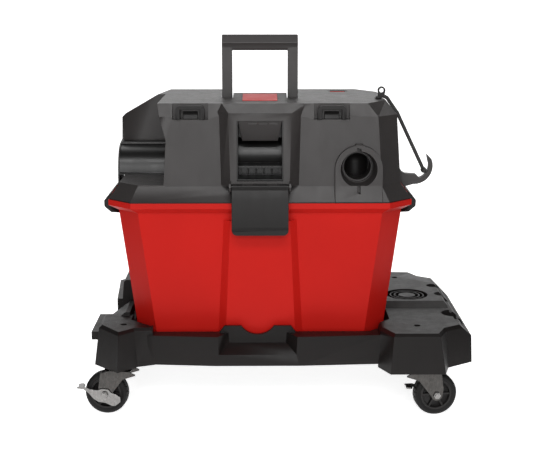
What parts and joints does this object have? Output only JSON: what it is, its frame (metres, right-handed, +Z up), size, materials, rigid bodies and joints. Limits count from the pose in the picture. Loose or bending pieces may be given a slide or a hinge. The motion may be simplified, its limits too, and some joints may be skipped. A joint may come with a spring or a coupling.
{
  "type": "shop vacuum",
  "caption": "Boxy cordless wet and dry shop vacuum: a motor head latched on a moulded tank, standing on a wheeled dolly with swivel casters.",
  "frame": {"origin": "on the floor, under the middle of the whole object's bounding box", "axes": "+Z up, +Y to the vacuum's back, +X to its right as seen from the front (the hose inlet's side)"},
  "size_m": [0.703, 0.438, 0.657],
  "materials": {
    "deck_plastic": "fine-grained moulding",
    "head_plastic": "fine-grained moulding",
    "tank_plastic": "satin moulding",
    "black_plastic": "moulded",
    "gloss_black": "polished",
    "red_plastic": "moulded",
    "tyre_rubber": "moulded tread",
    "soft_rubber": "extruded",
    "zinc_steel": "zinc plated",
    "motor_alloy": "cast",
    "contact_brass": "plated",
    "filter_paper": "pleated paper",
    "float_plastic": "moulded",
    "board": "printed board"
  },
  "bodies": {
    "dolly": {"dolly_deck": "deck_plastic", "caster_stems": "zinc_steel", "caster_grip_rings": "zinc_steel"},
    "tank_body": {"tank": "tank_plastic", "side_handle_left": "black_plastic", "side_handle_right": "black_plastic", "tank_seal": "soft_rubber"},
    "head": {"lid_shell": "head_plastic", "lid_base": "black_plastic", "inlet_collar": "head_plastic", "inlet_elbow": "black_plastic", "battery_bay_liner": "gloss_black", "battery_hood": "head_plastic", "battery_contacts": "contact_brass", "label_plate": "red_plastic", "hose_cradle_liner": "gloss_black", "carry_handle_pin": "zinc_steel", "front_latch_pin": "zinc_steel", "rear_latch_pin": "zinc_steel", "motor_housing": "black_plastic", "motor_body": "motor_alloy", "motor_bearings": "zinc_steel", "motor_controller": "board", "float_cage": "float_plastic", "filter_cartridge": "filter_paper", "switch_bezel": "black_plastic", "exhaust_grille": "black_plastic", "hose_hook_arm": "head_plastic", "strap_pin": "zinc_steel", "loop_clips": "black_plastic", "lid_screws": "zinc_steel"},
    "handle": {"carry_handle": "head_plastic"},
    "latch_front": {"front_latch": "black_plastic"},
    "latch_rear": {"rear_latch": "black_plastic"},
    "rotor": {"motor_shaft": "zinc_steel", "impeller": "motor_alloy"},
    "float": {"float_ball": "float_plastic"},
    "nut": {"filter_nut": "black_plastic"},
    "rocker": {"power_switch": "red_plastic"},
    "strap": {"strap_cord": "soft_rubber", "strap_hook": "black_plastic", "strap_eyelet": "black_plastic"},
    "fork_fl": {"caster_fork_fl": "zinc_steel", "wheel_axle_fl": "zinc_steel"},
    "wheel_fl": {"wheel_hub_fl": "black_plastic", "tyre_fl": "tyre_rubber"},
    "brake_fl": {"brake_lever_fl": "zinc_steel"},
    "fork_fr": {"caster_fork_fr": "zinc_steel", "wheel_axle_fr": "zinc_steel"},
    "wheel_fr": {"wheel_hub_fr": "black_plastic", "tyre_fr": "tyre_rubber"},
    "brake_fr": {"brake_lever_fr": "zinc_steel"},
    "fork_rl": {"caster_fork_rl": "zinc_steel", "wheel_axle_rl": "zinc_steel"},
    "wheel_rl": {"wheel_hub_rl": "black_plastic", "tyre_rl": "tyre_rubber"},
    "fork_rr": {"caster_fork_rr": "zinc_steel", "wheel_axle_rr": "zinc_steel"},
    "wheel_rr": {"wheel_hub_rr": "black_plastic", "tyre_rr": "tyre_rubber"}
  },
  "joints": [
    {"name": "tank_lift", "type": "slide", "parent": "dolly", "child": "tank_body", "axis": [0, 0, 1], "range_m": [0, 0.3]},
    {"name": "head_lift", "type": "slide", "parent": "tank_body", "child": "head", "axis": [0, 0, 1], "range_m": [0, 0.16]},
    {"name": "handle_fold", "type": "hinge", "parent": "head", "child": "handle", "pos_m": [-0.02752, -0.005, 0.534], "axis": [-1, 0, 0], "range_deg": [0, 88]},
    {"name": "front_latch_open", "type": "hinge", "parent": "head", "child": "latch_front", "pos_m": [-0.02752, -0.17, 0.404], "axis": [-1, 0, 0], "range_deg": [0, 90]},
    {"name": "rear_latch_open", "type": "hinge", "parent": "head", "child": "latch_rear", "pos_m": [-0.02752, 0.208, 0.404], "axis": [1, 0, 0], "range_deg": [0, 90]},
    {"name": "motor_spin", "type": "hinge", "parent": "head", "child": "rotor", "pos_m": [-0.02752, 0.054, 0.42], "axis": [0, 0, 1], "continuous": true},
    {"name": "float_rise", "type": "slide", "parent": "head", "child": "float", "axis": [0, 0, 1], "range_m": [0, 0.055]},
    {"name": "nut_turn", "type": "hinge", "parent": "head", "child": "nut", "pos_m": [-0.02752, 0.054, 0.246], "axis": [0, 0, 1], "continuous": true},
    {"name": "switch_rock", "type": "hinge", "parent": "head", "child": "rocker", "pos_m": [0.12248, 0.119, 0.534], "axis": [-1, 0, 0], "range_deg": [0, 11]},
    {"name": "strap_swing", "type": "hinge", "parent": "head", "child": "strap", "pos_m": [0.27098, -0.041, 0.414], "axis": [0, 1, 0], "range_deg": [0, 20]},
    {"name": "swivel_fl", "type": "hinge", "parent": "dolly", "child": "fork_fl", "pos_m": [-0.27152, -0.177, 0.084], "axis": [0, 0, 1], "continuous": true},
    {"name": "roll_fl", "type": "hinge", "parent": "fork_fl", "child": "wheel_fl", "pos_m": [-0.29925, -0.1731, 0.038], "axis": [0.1392, 0.9903, 0], "continuous": true},
    {"name": "brake_press_fl", "type": "hinge", "parent": "fork_fl", "child": "brake_fl", "pos_m": [-0.29925, -0.1731, 0.038], "axis": [-0.1392, -0.9903, 0], "range_deg": [0, 12]},
    {"name": "swivel_fr", "type": "hinge", "parent": "dolly", "child": "fork_fr", "pos_m": [0.25248, -0.189, 0.084], "axis": [0, 0, 1], "continuous": true},
    {"name": "roll_fr", "type": "hinge", "parent": "fork_fr", "child": "wheel_fr", "pos_m": [0.2802, -0.1851, 0.038], "axis": [-0.1392, 0.9903, 0], "continuous": true},
    {"name": "brake_press_fr", "type": "hinge", "parent": "fork_fr", "child": "brake_fr", "pos_m": [0.2802, -0.1851, 0.038], "axis": [0.1392, -0.9903, 0], "range_deg": [0, 12]},
    {"name": "swivel_rl", "type": "hinge", "parent": "dolly", "child": "fork_rl", "pos_m": [-0.26752, 0.169, 0.084], "axis": [0, 0, 1], "continuous": true},
    {"name": "roll_rl", "type": "hinge", "parent": "fork_rl", "child": "wheel_rl", "pos_m": [-0.29383, 0.17858, 0.038], "axis": [0.342, 0.9397, 0], "continuous": true},
    {"name": "swivel_rr", "type": "hinge", "parent": "dolly", "child": "fork_rr", "pos_m": [0.25248, 0.159, 0.084], "axis": [0, 0, 1], "continuous": true},
    {"name": "roll_rr", "type": "hinge", "parent": "fork_rr", "child": "wheel_rr", "pos_m": [0.27879, 0.16858, 0.038], "axis": [-0.342, 0.9397, 0], "continuous": true}
  ]
}
